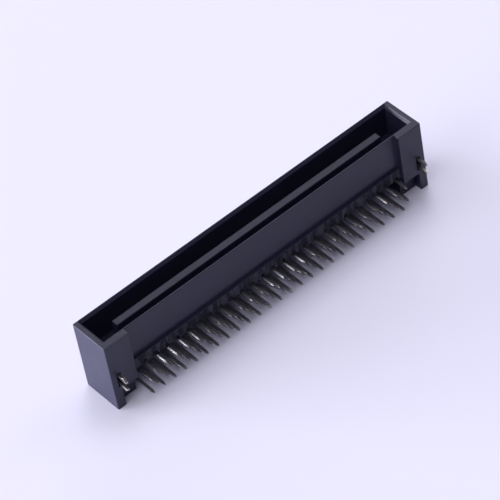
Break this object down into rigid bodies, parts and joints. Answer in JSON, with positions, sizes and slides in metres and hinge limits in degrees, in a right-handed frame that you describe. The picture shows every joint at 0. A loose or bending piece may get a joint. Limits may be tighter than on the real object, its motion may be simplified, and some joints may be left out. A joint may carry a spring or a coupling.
{
  "type": "board-to-board connector",
  "caption": "Right-angle board-to-board header: open shroud round a contact tongue, staggered solder leads on one side, forked board locks in the end blocks.",
  "frame": {"origin": "middle of the overall outline in X and Y, on the plane of the rear faces of the end blocks", "axes": "+X along the length, +Y away from the circuit board, +Z out of the mating mouth"},
  "size_m": [0.0758, 0.0114, 0.0161],
  "materials": {
    "housing_plastic": "fine moulded satin, glass-filled",
    "contact_metal": "gold plated on the blades, bright tin on the leads",
    "lock_metal": "bright tin plated stamping"
  },
  "bodies": {
    "root": {"housing": "housing_plastic", "contacts_01": "contact_metal", "contacts_02": "contact_metal", "contacts_03": "contact_metal", "contacts_04": "contact_metal", "contacts_05": "contact_metal", "contacts_06": "contact_metal", "contacts_07": "contact_metal", "contacts_08": "contact_metal", "contacts_09": "contact_metal", "contacts_10": "contact_metal", "contacts_11": "contact_metal", "contacts_12": "contact_metal", "contacts_13": "contact_metal", "contacts_14": "contact_metal", "contacts_15": "contact_metal", "contacts_16": "contact_metal", "contacts_17": "contact_metal", "contacts_18": "contact_metal", "contacts_19": "contact_metal", "contacts_20": "contact_metal", "contacts_21": "contact_metal", "contacts_22": "contact_metal", "contacts_23": "contact_metal", "contacts_24": "contact_metal", "contacts_25": "contact_metal", "contacts_26": "contact_metal", "contacts_27": "contact_metal", "contacts_28": "contact_metal", "contacts_29": "contact_metal", "contacts_30": "contact_metal", "contacts_31": "contact_metal", "contacts_32": "contact_metal", "contacts_33": "contact_metal", "contacts_34": "contact_metal", "contacts_35": "contact_metal", "contacts_36": "contact_metal", "contacts_37": "contact_metal", "contacts_38": "contact_metal", "contacts_39": "contact_metal", "contacts_40": "contact_metal", "contacts_41": "contact_metal", "contacts_42": "contact_metal", "contacts_43": "contact_metal", "contacts_44": "contact_metal", "contacts_45": "contact_metal", "contacts_46": "contact_metal", "contacts_47": "contact_metal", "contacts_48": "contact_metal", "contacts_49": "contact_metal", "contacts_50": "contact_metal", "board_lock_left": "lock_metal", "board_lock_right": "lock_metal"}
  },
  "joints": []
}
